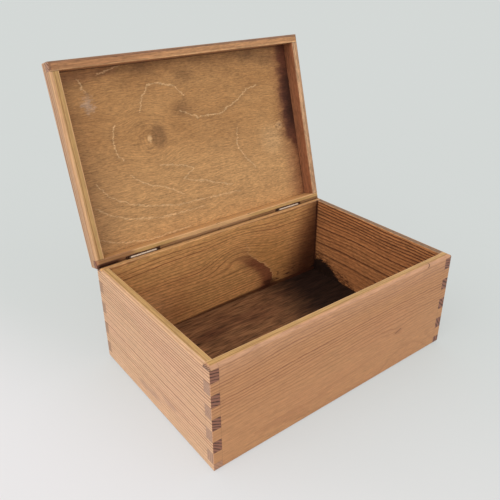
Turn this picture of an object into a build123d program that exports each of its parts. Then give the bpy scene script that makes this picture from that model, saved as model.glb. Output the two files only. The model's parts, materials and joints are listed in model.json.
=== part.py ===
from build123d import *

import os
from math import ceil, cos, hypot, radians, sin

os.makedirs("parts", exist_ok=True)

# A finger-jointed wooden box with a hinged lid, modelled with the lid standing open.
# Millimetres, +Z up, front of the box towards -Y, origin on the table under the middle of the box.

# ---- driving dimensions ----

# outer size of the box and of its lid
BOX_LENGTH = 300.0
BOX_DEPTH = 200.0
BOX_HEIGHT = 109.0
LID_HEIGHT = 19.0

# boards and the fingers that join them
BOARD = 9.0
FINGER = 12.1
LOWEST_FINGER = 9.2
LID_FINGER = 7.5

# plywood bottom panel, in a groove round the inside of the walls
BOTTOM_PLY = 3.0
BOTTOM_HEIGHT = 8.5
GROOVE_DEPTH = 4.0
GROOVE_PLAY = 0.1

# plywood lid panel, let into a rabbet round the top of the lid rails
LID_PLY = 3.0
RABBET_WIDTH = 4.5
RABBET_PLAY = 0.1

# rounded edges
CORNER_ROUND = 1.0
BASE_ROUND = 3.0
TOP_ROUND = 3.0
RIM_ROUND = 3.5
BACK_ROUND = 4.5
MOUTH_EASE = 0.5

# how the lid sits on the box and how far it opens
OPEN_ANGLE = 105.0
RIM_GAP = 0.5
STOP_GAP = 0.27

# hinges, each with a flat leaf pressed into a saw kerf in either rim
HINGE_INSET = 51.0
HINGE_LENGTH = 30.0
LEAF_DEPTH = 7.0
LEAF_THICKNESS = 0.7
KERF_OVERRUN = 5.0
KERF_PLAY = 0.2
KNUCKLE_COUNT = 5
KNUCKLE_GAP = 0.3
KNUCKLE_CLEARANCE = 0.3
TROUGH_OVERRUN = 3.5
PIN_RADIUS = 0.45
PIN_PLAY = 0.05
PIN_CHAMFER = 0.15

# how far a cutter runs past the wood that it trims
OVERRUN = 1.0

# ---- worked out from them ----

# The rounded back edges of box and lid meet as the lid reaches its open angle. The pin lies just far
# enough in from the back for STOP_GAP to be left between them there.
half_open = radians(OPEN_ANGLE / 2)
stop_reach = BACK_ROUND + STOP_GAP / 2 - (BACK_ROUND + RIM_GAP / 2) * cos(half_open)
PIN_INSET = BACK_ROUND - stop_reach / sin(half_open)
PIN_Y = BOX_DEPTH / 2 - PIN_INSET
PIN_Z = BOX_HEIGHT + RIM_GAP / 2

INNER_LENGTH = BOX_LENGTH - 2 * BOARD
INNER_DEPTH = BOX_DEPTH - 2 * BOARD
SIDE_X = (BOX_LENGTH - BOARD) / 2
LONG_Y = (BOX_DEPTH - BOARD) / 2
LONG_BOARD = (BOX_LENGTH, BOARD)
SIDE_BOARD = (BOARD, BOX_DEPTH)

# Heights of the fingers, counted up from the table. The side walls have the lowest ones, and the
# front and back walls the ones between.
finger_count = ceil((BOX_HEIGHT - LOWEST_FINGER) / FINGER)
finger_levels = [0, *(LOWEST_FINGER + n * FINGER for n in range(finger_count)), BOX_HEIGHT]
box_fingers = list(zip(finger_levels, finger_levels[1:]))
side_wall_fingers = box_fingers[0::2]
long_wall_fingers = box_fingers[1::2]

# The lid was sawn off the same blank, so its long rails have what the saw left of one finger and its
# side rails have the last one. These heights are counted from the lid's rim.
long_rail_fingers = [(0, LID_FINGER)]
side_rail_fingers = [(LID_FINGER, LID_HEIGHT)]

# ---- frames ----

BOX_FRAME = Plane.XY
BOX_RIM = Plane.XY.offset(BOX_HEIGHT)

# The open lid's own frame has x along the hinges, y from its front to its back rail and z from its rim
# to its top. Its origin is in the middle of the rim.
opened = radians(OPEN_ANGLE)
lid_up = Vector(0, sin(opened), cos(opened))
pin_frame = Plane(origin=(0, PIN_Y, PIN_Z), x_dir=(1, 0, 0), z_dir=lid_up)
LID_FRAME = Plane(
    origin=pin_frame.from_local_coords((0, -PIN_Y, RIM_GAP / 2)), x_dir=(1, 0, 0), z_dir=lid_up
)
LID_RIM = Plane(origin=LID_FRAME.origin, x_dir=(1, 0, 0), z_dir=-lid_up)


def across(frame, x):
    """The plane that crosses a frame's x axis at x, with the frame's y to the right and its z up."""
    return Plane(
        origin=frame.origin + frame.x_dir * x, x_dir=frame.y_dir, z_dir=frame.x_dir
    )


def facing(frame):
    """The plane through a frame's x and z axes, with x to the right and z up."""
    return Plane(origin=frame.origin, x_dir=frame.x_dir, z_dir=-frame.y_dir)


# ---- wooden parts ----


def rounding_waste(plane, width, height, length, radii):
    """The slivers that come off the four long edges of a block as they are rounded. The plane crosses
    the block's end, with its origin in the middle of the lower edge. The radii go round the section
    from the lower left corner, anticlockwise."""
    corners = [(-1, 0), (1, 0), (1, 1), (-1, 1)]
    with BuildPart() as waste:
        with BuildSketch(plane.offset(-OVERRUN)):
            for (side, top), radius in zip(corners, radii):
                x = side * width / 2
                y = top * height
                upward = 1 - 2 * top
                with Locations((x, y)):
                    Rectangle(2 * radius, 2 * radius)
                with Locations((x - side * radius, y + upward * radius)):
                    Circle(radius, mode=Mode.SUBTRACT)
        extrude(amount=length + 2 * OVERRUN)
    return waste.part


def outline_waste(frame, height, low_round, low_back_round, high_back_round, high_round):
    """What the rounding of all its outer edges takes off the box or the lid. The low and the high
    edge at the back have a radius of their own."""
    end = across(frame, -BOX_LENGTH / 2)
    front = facing(frame).offset(-BOX_DEPTH / 2)
    underside = Plane(
        origin=frame.from_local_coords((0, -BOX_DEPTH / 2, 0)),
        x_dir=frame.x_dir,
        z_dir=frame.z_dir,
    )
    end_radii = (low_round, low_back_round, high_back_round, high_round)
    front_radii = (low_round, low_round, high_round, high_round)
    return [
        rounding_waste(end, BOX_DEPTH, height, BOX_LENGTH, end_radii),
        rounding_waste(front, BOX_LENGTH, height, BOX_DEPTH, front_radii),
        rounding_waste(underside, BOX_LENGTH, BOX_DEPTH, height, 4 * (CORNER_ROUND,)),
    ]


def eased_mouth(rim):
    """The shallow flare that eases the inner edges of a rim. The plane faces out of the wood."""
    with BuildPart() as flare:
        with BuildSketch(rim.offset(-MOUTH_EASE)):
            Rectangle(INNER_LENGTH + 2 * MOUTH_EASE, INNER_DEPTH + 2 * MOUTH_EASE)
        extrude(amount=2 * MOUTH_EASE)
        deepest = flare.faces().sort_by(Axis(rim.origin, rim.z_dir))[0]
        chamfer(deepest.edges(), MOUTH_EASE)
    return flare.part


def finger_board(frame, height, size, centre, other_fingers, cuts):
    """One board of the box or the lid: a straight blank, less the fingers of the boards that it meets
    at its ends, the waste of its rounded edges and the cuts for what it carries."""
    with BuildPart() as board:
        with BuildSketch(frame):
            with Locations(centre):
                Rectangle(*size)
        extrude(amount=height)
        for low, high in other_fingers:
            with BuildSketch(frame.offset(low)):
                with GridLocations(2 * SIDE_X, 2 * LONG_Y, 2, 2):
                    Rectangle(BOARD, BOARD)
            extrude(amount=high - low, mode=Mode.SUBTRACT)
        add(cuts, mode=Mode.SUBTRACT)
    return board


def ply_panel(frame, height, thickness, length, depth):
    """A rectangular sheet of plywood whose lower face is at the height given."""
    with BuildPart() as panel:
        with BuildSketch(frame.offset(height)):
            Rectangle(length, depth)
        extrude(amount=thickness)
    return panel


# ---- hinges ----

# A hinge leaf has its own frame: origin on the pin's axis in the middle of the hinge, x along the pin
# and z out of the rim. The leaf goes straight down from the pin, and its knuckles are rolled from it.
KNUCKLE_PITCH = HINGE_LENGTH / KNUCKLE_COUNT
PINCHED_RADIUS = PIN_RADIUS
RUNNING_RADIUS = PIN_RADIUS + PIN_PLAY
KNUCKLE_RADIUS = RUNNING_RADIUS + LEAF_THICKNESS
HINGE_X = BOX_LENGTH / 2 - HINGE_INSET
hinge_places = {"left": -HINGE_X, "right": HINGE_X}
knuckle_starts = [-HINGE_LENGTH / 2 + n * KNUCKLE_PITCH for n in range(KNUCKLE_COUNT)]
box_knuckles = knuckle_starts[0::2]
lid_knuckles = knuckle_starts[1::2]

# A round saw blade cuts the kerf. Its edge clears the leaf's lower corners by KERF_PLAY and leaves the
# pin's level KERF_OVERRUN past the ends of the leaf.
kerf_reach = HINGE_LENGTH / 2 + KERF_OVERRUN
kerf_half_length = HINGE_LENGTH / 2 + KERF_PLAY
kerf_depth = LEAF_DEPTH + KERF_PLAY
BLADE_RISE = (kerf_reach**2 - kerf_half_length**2 - kerf_depth**2) / (2 * kerf_depth)
BLADE_RADIUS = hypot(kerf_reach, BLADE_RISE)


def box_leaf_frame(x):
    return Plane(origin=(x, PIN_Y, PIN_Z), x_dir=(1, 0, 0), z_dir=(0, 0, 1))


def lid_leaf_frame(x):
    return Plane(origin=(x, PIN_Y, PIN_Z), x_dir=(-1, 0, 0), z_dir=-lid_up)


def hinge_seat(frame):
    """What is cut from a rim for one leaf: the saw kerf and the trough for the knuckles."""
    trough_length = HINGE_LENGTH + 2 * TROUGH_OVERRUN
    with BuildPart() as seat:
        with BuildSketch(facing(frame).offset(-LEAF_THICKNESS / 2)):
            with Locations((0, BLADE_RISE)):
                Circle(BLADE_RADIUS)
        extrude(amount=LEAF_THICKNESS)
        with BuildSketch(across(frame, -trough_length / 2)):
            Circle(KNUCKLE_RADIUS + KNUCKLE_CLEARANCE)
        extrude(amount=trough_length)
    return seat.part


def hinge_leaf(frame, own_knuckles, other_knuckles, bore_radius):
    """A flat leaf with its own knuckles round the pin and notches for those of the other leaf."""
    with BuildPart() as leaf:
        with BuildSketch(facing(frame).offset(-LEAF_THICKNESS / 2)):
            with Locations((0, -LEAF_DEPTH / 2)):
                Rectangle(HINGE_LENGTH, LEAF_DEPTH)
        extrude(amount=LEAF_THICKNESS)
        for start in other_knuckles:
            with BuildSketch(across(frame, start - KNUCKLE_GAP / 2)):
                Circle(KNUCKLE_RADIUS + KNUCKLE_CLEARANCE)
            extrude(amount=KNUCKLE_PITCH + KNUCKLE_GAP, mode=Mode.SUBTRACT)
        for start in own_knuckles:
            with BuildSketch(across(frame, start + KNUCKLE_GAP / 2)):
                Circle(KNUCKLE_RADIUS)
            extrude(amount=KNUCKLE_PITCH - KNUCKLE_GAP)
        with BuildSketch(across(frame, -HINGE_LENGTH / 2)):
            Circle(bore_radius)
        extrude(amount=HINGE_LENGTH, mode=Mode.SUBTRACT)
    return leaf


def hinge_pin(frame):
    with BuildPart() as pin:
        with BuildSketch(across(frame, -HINGE_LENGTH / 2)):
            Circle(PIN_RADIUS)
        extrude(amount=HINGE_LENGTH)
        chamfer(pin.edges().filter_by(GeomType.CIRCLE), PIN_CHAMFER)
    return pin


box_seats = [hinge_seat(box_leaf_frame(x)) for x in hinge_places.values()]
lid_seats = [hinge_seat(lid_leaf_frame(x)) for x in hinge_places.values()]

# ---- the box ----

box_waste = outline_waste(BOX_FRAME, BOX_HEIGHT, BASE_ROUND, BASE_ROUND, BACK_ROUND, RIM_ROUND)
box_mouth = eased_mouth(BOX_RIM)

with BuildPart() as bottom_groove:
    with BuildSketch(BOX_FRAME.offset(BOTTOM_HEIGHT)):
        Rectangle(INNER_LENGTH + 2 * GROOVE_DEPTH, INNER_DEPTH + 2 * GROOVE_DEPTH)
    extrude(amount=BOTTOM_PLY + GROOVE_PLAY)

box_cuts = box_waste + [box_mouth, bottom_groove.part]


def wall(size, centre, other_fingers, cuts):
    return finger_board(BOX_FRAME, BOX_HEIGHT, size, centre, other_fingers, cuts)


front_wall = wall(LONG_BOARD, (0, -LONG_Y), side_wall_fingers, box_cuts)
back_wall = wall(LONG_BOARD, (0, LONG_Y), side_wall_fingers, box_cuts + box_seats)
left_wall = wall(SIDE_BOARD, (-SIDE_X, 0), long_wall_fingers, box_cuts)
right_wall = wall(SIDE_BOARD, (SIDE_X, 0), long_wall_fingers, box_cuts)

held_in_groove = 2 * (GROOVE_DEPTH - GROOVE_PLAY)
bottom_panel = ply_panel(
    BOX_FRAME,
    BOTTOM_HEIGHT,
    BOTTOM_PLY,
    INNER_LENGTH + held_in_groove,
    INNER_DEPTH + held_in_groove,
)

# ---- the lid ----

lid_waste = outline_waste(LID_FRAME, LID_HEIGHT, RIM_ROUND, BACK_ROUND, TOP_ROUND, TOP_ROUND)
lid_mouth = eased_mouth(LID_RIM)
RABBET_HEIGHT = LID_HEIGHT - LID_PLY

with BuildPart() as lid_rabbet:
    with BuildSketch(LID_FRAME.offset(RABBET_HEIGHT)):
        Rectangle(INNER_LENGTH + 2 * RABBET_WIDTH, INNER_DEPTH + 2 * RABBET_WIDTH)
    extrude(amount=LID_PLY)

lid_cuts = lid_waste + [lid_mouth, lid_rabbet.part]


def rail(size, centre, other_fingers, cuts):
    return finger_board(LID_FRAME, LID_HEIGHT, size, centre, other_fingers, cuts)


lid_front_rail = rail(LONG_BOARD, (0, -LONG_Y), side_rail_fingers, lid_cuts)
lid_back_rail = rail(LONG_BOARD, (0, LONG_Y), side_rail_fingers, lid_cuts + lid_seats)
lid_left_rail = rail(SIDE_BOARD, (-SIDE_X, 0), long_rail_fingers, lid_cuts)
lid_right_rail = rail(SIDE_BOARD, (SIDE_X, 0), long_rail_fingers, lid_cuts)

set_in_rabbet = 2 * (RABBET_WIDTH - RABBET_PLAY)
lid_panel = ply_panel(
    LID_FRAME, RABBET_HEIGHT, LID_PLY, INNER_LENGTH + set_in_rabbet, INNER_DEPTH + set_in_rabbet
)

# ---- every piece, by name ----

pieces = {
    "front_wall": front_wall,
    "back_wall": back_wall,
    "left_wall": left_wall,
    "right_wall": right_wall,
    "bottom_panel": bottom_panel,
    "lid_front_rail": lid_front_rail,
    "lid_back_rail": lid_back_rail,
    "lid_left_rail": lid_left_rail,
    "lid_right_rail": lid_right_rail,
    "lid_panel": lid_panel,
}

for side, x in hinge_places.items():
    on_box = box_leaf_frame(x)
    on_lid = lid_leaf_frame(x)
    pieces[f"{side}_hinge_box_leaf"] = hinge_leaf(on_box, box_knuckles, lid_knuckles, PINCHED_RADIUS)
    pieces[f"{side}_hinge_lid_leaf"] = hinge_leaf(on_lid, lid_knuckles, box_knuckles, RUNNING_RADIUS)
    pieces[f"{side}_hinge_pin"] = hinge_pin(on_box)

for name, piece in pieces.items():
    piece.part.label = name
    export_step(piece.part, f"parts/{name}.step")
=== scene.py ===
"""A stained wooden box with finger joints and a hinged lid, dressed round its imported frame."""

import json
import math

import bpy
from mathutils import Matrix, Vector


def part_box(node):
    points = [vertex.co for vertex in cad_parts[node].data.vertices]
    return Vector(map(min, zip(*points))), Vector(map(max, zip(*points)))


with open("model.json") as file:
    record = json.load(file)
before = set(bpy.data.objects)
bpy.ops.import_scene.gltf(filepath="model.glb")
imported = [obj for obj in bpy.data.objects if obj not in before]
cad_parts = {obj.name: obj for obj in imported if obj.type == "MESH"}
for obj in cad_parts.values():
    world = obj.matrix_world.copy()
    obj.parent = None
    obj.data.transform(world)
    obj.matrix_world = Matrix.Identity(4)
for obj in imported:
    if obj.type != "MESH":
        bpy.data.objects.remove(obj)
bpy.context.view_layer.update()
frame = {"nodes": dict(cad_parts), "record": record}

MM = 0.001

# ---- the photograph's camera, in metres and degrees ----

CAMERA_PLACE = Vector((-0.33374, -0.39405, 0.38715))
CAMERA_AZIMUTH = math.radians(-37.206)
CAMERA_ELEVATION = math.radians(27.269)
CAMERA_ROLL = math.radians(-0.439)
CAMERA_LENS_MM = 41.751
CAMERA_SENSOR_MM = 36.0
IMAGE_SIDE = 500

# ---- light ----

WHITE = (1.0, 1.0, 1.0, 1.0)
WORLD_STRENGTH = 0.84
KEY_STRENGTH = 1.25
KEY_DIRECTION = (-0.85, -0.35, 0.75)
KEY_SPREAD_DEG = 70.0
KEY_COLOUR = (1.0, 0.99, 0.97)

# ---- the floor, whose reach is in metres and whose other distances are in millimetres ----

FLOOR_REACH = 60.0
FLOOR_COLOUR = (0.655, 0.685, 0.672)
# Painted light: the floor is lighter towards the near side and towards the left.
FLOOR_LIT_NEAR_COLOUR = (0.80, 0.79, 0.79)
FLOOR_NEAR_SPAN = (-150.0, 420.0)
FLOOR_LIT_LEFT_COLOUR = (0.825, 0.812, 0.818)
FLOOR_LEFT_SPAN = (90.0, 300.0)
FLOOR_LEFT_FADE = (2600.0, 350.0)
FLOOR_GLOW = 0.6
FLOOR_BOUNCE = 0.93

# ---- sizes of the box that the materials follow, in millimetres ----


def box_mm(node):
    """A node's lowest and highest corner."""
    low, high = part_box(node)
    return Vector(low) / MM, Vector(high) / MM


wall_low, wall_high = box_mm("front_wall")
HALF_LENGTH = wall_high.x
HALF_DEPTH = box_mm("back_wall")[1].y
BOARD = wall_high.y - wall_low.y
RIM_HEIGHT = wall_high.z
LOWEST_FINGER = 9.2
FINGER = 12.1

lid_joint = next(j for j in frame["record"]["behaviour"]["joints"] if j["name"] == "lid_hinge")
OPEN_ANGLE = math.radians(max(lid_joint["range_deg"]))
PIN = Vector(lid_joint["pos_m"]) / MM


# ---- camera and light ----


def camera_axes():
    """The camera's right, up and backward directions."""
    flat = math.cos(CAMERA_ELEVATION)
    cosine = math.cos(CAMERA_AZIMUTH)
    sine = math.sin(CAMERA_AZIMUTH)
    backward = Vector((sine * flat, -cosine * flat, math.sin(CAMERA_ELEVATION)))
    level = Vector((cosine, sine, 0))
    upright = backward.cross(level)
    right = level * math.cos(CAMERA_ROLL) + upright * math.sin(CAMERA_ROLL)
    up = upright * math.cos(CAMERA_ROLL) - level * math.sin(CAMERA_ROLL)
    return right, up, backward


def add_camera():
    """The photograph's camera."""
    data = bpy.data.cameras.new("camera")
    data.sensor_width = CAMERA_SENSOR_MM
    data.lens = CAMERA_LENS_MM
    data.clip_start = 0.01
    camera = bpy.data.objects.new("camera", data)
    axes = Matrix(camera_axes()).transposed().to_4x4()
    camera.matrix_world = Matrix.Translation(CAMERA_PLACE) @ axes
    bpy.context.scene.collection.objects.link(camera)
    bpy.context.scene.camera = camera


def ray_through(pixel):
    """The direction from the camera through a pixel of the photograph."""
    right, up, backward = camera_axes()
    focal = CAMERA_LENS_MM / CAMERA_SENSOR_MM * IMAGE_SIDE
    x = (pixel[0] - IMAGE_SIDE / 2) / focal
    y = (IMAGE_SIDE / 2 - pixel[1]) / focal
    return right * x + up * y - backward


def add_key_light():
    """A broad light from far away, which shines from the front left."""
    data = bpy.data.lights.new("key", "SUN")
    data.energy = KEY_STRENGTH
    data.angle = math.radians(KEY_SPREAD_DEG)
    data.color = KEY_COLOUR
    light = bpy.data.objects.new("key", data)
    light.matrix_world = Vector(KEY_DIRECTION).to_track_quat("Z", "Y").to_matrix().to_4x4()
    bpy.context.scene.collection.objects.link(light)


def add_studio():
    """An even white sky, and the light that gives the box its shadow."""
    scene = bpy.context.scene
    scene.view_settings.view_transform = "Standard"
    world = bpy.data.worlds.new("studio")
    world.use_nodes = True
    sky = world.node_tree.nodes["Background"]
    sky.inputs["Color"].default_value = WHITE
    sky.inputs["Strength"].default_value = WORLD_STRENGTH
    scene.world = world
    add_key_light()


# ---- node trees ----


class Value:
    """A number that a node tree works out at each point of a surface."""

    def __init__(self, graph, socket):
        self.graph = graph
        self.socket = socket

    def __add__(self, other):
        return self.graph.math("ADD", self, other)

    __radd__ = __add__

    def __sub__(self, other):
        return self.graph.math("SUBTRACT", self, other)

    def __rsub__(self, other):
        return self.graph.math("SUBTRACT", other, self)

    def __mul__(self, other):
        return self.graph.math("MULTIPLY", self, other)

    def __truediv__(self, other):
        return self.graph.math("DIVIDE", self, other)

    def __neg__(self):
        return self * -1.0

    def __abs__(self):
        return self.graph.math("ABSOLUTE", self)

    def call(self, operation):
        return self.graph.math(operation, self)

    def rises(self, start, end):
        """0 up to start, 1 from end on, and smooth between. With start above end it falls."""
        graph = self.graph
        if start > end:
            return 1.0 - self.rises(end, start)
        made = graph.node("ShaderNodeMapRange", interpolation_type="SMOOTHSTEP", clamp=True)
        graph.feed(made.inputs["Value"], self)
        graph.feed(made.inputs["From Min"], start)
        graph.feed(made.inputs["From Max"], end)
        return Value(graph, made.outputs["Result"])

    def near(self, middle, reach):
        """1 where the number is the middle one, falling to 0 at the reach on either side."""
        return abs(self - middle).rises(reach, 0.0)

    def within(self, low, high, soft):
        """1 between two numbers, falling to 0 over a soft edge outside of them."""
        return self.rises(low - soft, low) * self.rises(high + soft, high)

    def at_most(self, other):
        return self.graph.math("MINIMUM", self, other)

    def at_least(self, other):
        return self.graph.math("MAXIMUM", self, other)


class Graph:
    """A material's node tree, with a short method for each kind of node that it uses."""

    def __init__(self, name):
        self.material = bpy.data.materials.new(name)
        self.material.use_nodes = True
        self.tree = self.material.node_tree
        self.tree.nodes.clear()

    def node(self, kind, **settings):
        made = self.tree.nodes.new(kind)
        for key, value in settings.items():
            setattr(made, key, value)
        return made

    def feed(self, socket, value):
        if isinstance(value, Value):
            self.tree.links.new(value.socket, socket)
        elif isinstance(value, bpy.types.NodeSocket):
            self.tree.links.new(value, socket)
        else:
            socket.default_value = value

    def math(self, operation, a, b=0.0):
        made = self.node("ShaderNodeMath", operation=operation)
        self.feed(made.inputs[0], a)
        self.feed(made.inputs[1], b)
        return Value(self, made.outputs[0])

    def vector(self, x, y, z):
        made = self.node("ShaderNodeCombineXYZ")
        for socket, value in zip(made.inputs, (x, y, z)):
            self.feed(socket, value)
        return made.outputs[0]

    def vectors(self, operation, a, b):
        """The node that works on two vectors, each a socket or three numbers."""
        made = self.node("ShaderNodeVectorMath", operation=operation)
        self.feed(made.inputs[0], a)
        self.feed(made.inputs[1], b)
        return made

    def along(self, point, origin, axis):
        """How far a point lies from an origin along an axis, in millimetres."""
        moved = self.vectors("SUBTRACT", point, Vector(origin) * MM)
        product = self.vectors("DOT_PRODUCT", moved.outputs[0], Vector(axis) / MM)
        return Value(self, product.outputs["Value"])

    def object_point(self):
        return self.node("ShaderNodeTexCoord").outputs["Object"]

    def place_of(self, point):
        """A point's x, y and z in the part's frame, in millimetres."""
        return [self.along(point, (0, 0, 0), axis) for axis in ((1, 0, 0), (0, 1, 0), (0, 0, 1))]

    def facing(self, axis):
        """How squarely the surface faces along an axis, from 0 to 1, whichever way."""
        normal = self.node("ShaderNodeTexCoord").outputs["Normal"]
        product = self.vectors("DOT_PRODUCT", normal, Vector(axis))
        return abs(Value(self, product.outputs["Value"]))

    def noise(self, point, size, seed, detail=2.0, roughness=0.5):
        """Smooth noise from -1 to 1. Its lumps have the sizes given along the point's numbers."""
        made = self.node("ShaderNodeTexNoise", noise_dimensions="3D")
        scaled = [p * (1 / s) + seed for p, s in zip(point, size)]
        self.feed(made.inputs["Vector"], self.vector(*scaled))
        made.inputs["Scale"].default_value = 1.0
        made.inputs["Detail"].default_value = detail
        made.inputs["Roughness"].default_value = roughness
        return Value(self, made.outputs["Fac"]) * 2.0 - 1.0

    def random_of(self, number):
        """A number from 0 to 1 that stays the same for the same whole number."""
        made = self.node("ShaderNodeTexWhiteNoise", noise_dimensions="1D")
        self.feed(made.inputs["W"], number)
        return Value(self, made.outputs["Value"])

    def mix(self, amount, first, second, blend="MIX"):
        """A colour between two, each a socket or three numbers."""
        made = self.node("ShaderNodeMix", data_type="RGBA", blend_type=blend, clamp_factor=True)
        self.feed(made.inputs["Factor"], amount)
        for name, colour in (("A", first), ("B", second)):
            socket = next(s for s in made.inputs if s.name == name and s.type == "RGBA")
            if isinstance(colour, tuple):
                colour = (*colour, 1.0)
            self.feed(socket, colour)
        return next(s for s in made.outputs if s.type == "RGBA")

    def shade(self, colour, tone):
        """A colour made darker or lighter by a number round 1."""
        return self.mix(1.0, colour, self.vector(tone, tone, tone), blend="MULTIPLY")

    def curve(self, value, points):
        """A smooth line through given points, as a number for each number."""
        made = self.node("ShaderNodeFloatCurve")
        self.feed(made.inputs["Value"], value)
        line = made.mapping.curves[0]
        made.mapping.use_clip = False
        for index, (x, y) in enumerate(points):
            if index < len(line.points):
                line.points[index].location = (x, y)
            else:
                line.points.new(x, y)
        made.mapping.update()
        return Value(self, made.outputs["Value"])

    def distance(self, a, b, place):
        """How far the point with the two numbers lies from a place."""
        made = self.vectors("DISTANCE", self.vector(a, b, 0.0), (*place, 0.0))
        return Value(self, made.outputs["Value"])

    def line_distance(self, a, b, line):
        """How far the point with the two numbers lies from a line through given points."""
        point = self.vector(a, b, 0.0)
        nearest = None
        for start, end in zip(line, line[1:]):
            start = Vector((*start, 0.0))
            run = Vector((*end, 0.0)) - start
            offset = self.vectors("SUBTRACT", point, start)
            share = self.vectors("DOT_PRODUCT", offset.outputs[0], run / run.length_squared)
            kept = self.node("ShaderNodeClamp")
            self.feed(kept.inputs["Value"], share.outputs["Value"])
            on_line = self.node("ShaderNodeVectorMath", operation="SCALE")
            self.feed(on_line.inputs[0], run)
            self.feed(on_line.inputs["Scale"], kept.outputs[0])
            gap = self.vectors("DISTANCE", offset.outputs[0], on_line.outputs[0])
            gap = Value(self, gap.outputs["Value"])
            nearest = gap if nearest is None else nearest.at_most(gap)
        return nearest

    def finish(self, colour, roughness, height, bump, **constants):
        """Ends the tree in one Principled shader, with bump from a height in millimetres."""
        shader = self.node("ShaderNodeBsdfPrincipled")
        self.feed(shader.inputs["Base Color"], colour)
        self.feed(shader.inputs["Roughness"], roughness)
        for name, value in constants.items():
            shader.inputs[name.replace("_", " ")].default_value = value
        made = self.node("ShaderNodeBump")
        made.inputs["Strength"].default_value = bump
        made.inputs["Distance"].default_value = MM
        self.feed(made.inputs["Height"], height)
        self.feed(shader.inputs["Normal"], made.outputs["Normal"])
        output = self.node("ShaderNodeOutputMaterial")
        self.feed(output.inputs["Surface"], shader.outputs[0])
        return self.material


# ---- colours, as linear red, green and blue ----

HONEY = (0.54, 0.275, 0.118)
ROSE = (0.50, 0.235, 0.115)
PEACH = (0.72, 0.42, 0.205)
PINK_EDGE = (0.60, 0.335, 0.205)
OLIVE = (0.52, 0.315, 0.112)
LATEWOOD = (0.25, 0.092, 0.038)
END_WOOD = (0.29, 0.125, 0.078)
END_LINE = (0.062, 0.022, 0.013)
SEAM = (0.030, 0.014, 0.009)
# Dark stain on chips and marks, and the colour of painted shade in gaps, corners and crevices.
STAIN_AND_SHADE = (0.055, 0.0155, 0.0072)
# CORNER_SHADE_BLACK is the near-black colour of painted shade in the back right corner.
CORNER_SHADE_BLACK = (0.009, 0.0048, 0.0042)
SMEAR = (0.36, 0.20, 0.15)
# Rose stain, and the colour of painted shade towards the back wall's right corner.
ROSE_STAIN_AND_SHADE = (0.205, 0.062, 0.030)
AMBER = (0.50, 0.235, 0.07)
BACK_LIT = (0.90, 0.50, 0.235)
PLY_LIGHT = (0.52, 0.275, 0.104)
PLY_WARM = (0.37, 0.175, 0.058)
PLY_LOWER = (0.68, 0.39, 0.165)
PLY_PALE = (0.78, 0.50, 0.25)
PLY_DARK = (0.068, 0.024, 0.011)
PLY_SMEAR = (0.115, 0.036, 0.019)
PLY_SMEAR_CORE = (0.040, 0.0145, 0.009)
CHALK = (0.50, 0.44, 0.40)
BOTTOM_LIGHT = (0.225, 0.105, 0.046)
BOTTOM_WARM = (0.110, 0.042, 0.020)
BOTTOM_LIT_LEFT = (0.30, 0.145, 0.062)
LEAF_METAL = (0.80, 0.62, 0.47)
PIN_METAL = (0.55, 0.52, 0.48)

# Roughness, specular level and metallic share of the materials, from 0 to 1.
LEAF_ROUGHNESS = 0.3
PIN_ROUGHNESS = 0.35
WOOD_SPECULAR = 0.28
BOTTOM_SPECULAR = 0.12
METALLIC = 0.85


# ---- solid wood ----

# How a board looks where its own entry doesn't say. The early wood drifts between light and warm. late
# is the late wood, outside the outer face, edge the colour of the rounded edges, rubbed bright and with
# a painted highlight on most boards, flat the rim and end the end grain.
# wander, ripple and shake bend the rings over long, middling and short stretches, taper tilts them, and
# each of bends pushes them aside round a place. late_from is where in a year's growth late wood starts.
# quiet holds the two heights between which the rings gain strength, and their strength below them.
# The rest are strengths, apart from rim_line, where a dark line runs along the rim.
LOOKS = {
    "light": HONEY,
    "warm": ROSE,
    "late": LATEWOOD,
    "outside": None,
    "edge": PEACH,
    "flat": OLIVE,
    "end": END_WOOD,
    "wander": 5.0,
    "ripple": 0.8,
    "shake": 0.35,
    "taper": 0.0,
    "bends": (),
    "late_from": 0.25,
    "quiet": (-200.0, -190.0, 1.0),
    "fibre": 0.32,
    "fine": 0.1,
    "contrast": 0.6,
    "end_contrast": 0.85,
    "worn": 0.75,
    "rim_line": 0.4,
}

# The squeeze that makes a bend in the rings longer along the board than across it.
BEND_SQUEEZE = 0.55


class Board:
    """Where a board lies and how it was cut from its log, in millimetres.

    grain runs along the board, width across its broad face and depth through it, outwards. The pith is
    the middle of the log's rings, measured from the board's middle along width and depth, and ring is
    the width of a year's growth. rim and rim_near say how far a point belongs to the rim."""

    def __init__(self, middle, grain, width, depth, pith, ring, seed, rim, rim_near, **looks):
        self.middle = middle
        self.grain = grain
        self.width = width
        self.depth = depth
        self.pith = pith
        self.ring = ring
        self.seed = seed
        self.rim = rim
        self.rim_near = rim_near
        self.looks = {**LOOKS, **looks}


class Sawn:
    """The numbers that a board's material is made from, at each point of the board.

    u, v and w run along the board's grain, width and depth from its middle, and x, y and z are the
    part's own."""

    def __init__(self, graph, board):
        point = graph.object_point()
        self.u = graph.along(point, board.middle, board.grain)
        self.v = graph.along(point, board.middle, board.width)
        self.w = graph.along(point, board.middle, board.depth)
        self.x, self.y, self.z = graph.place_of(point)


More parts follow.
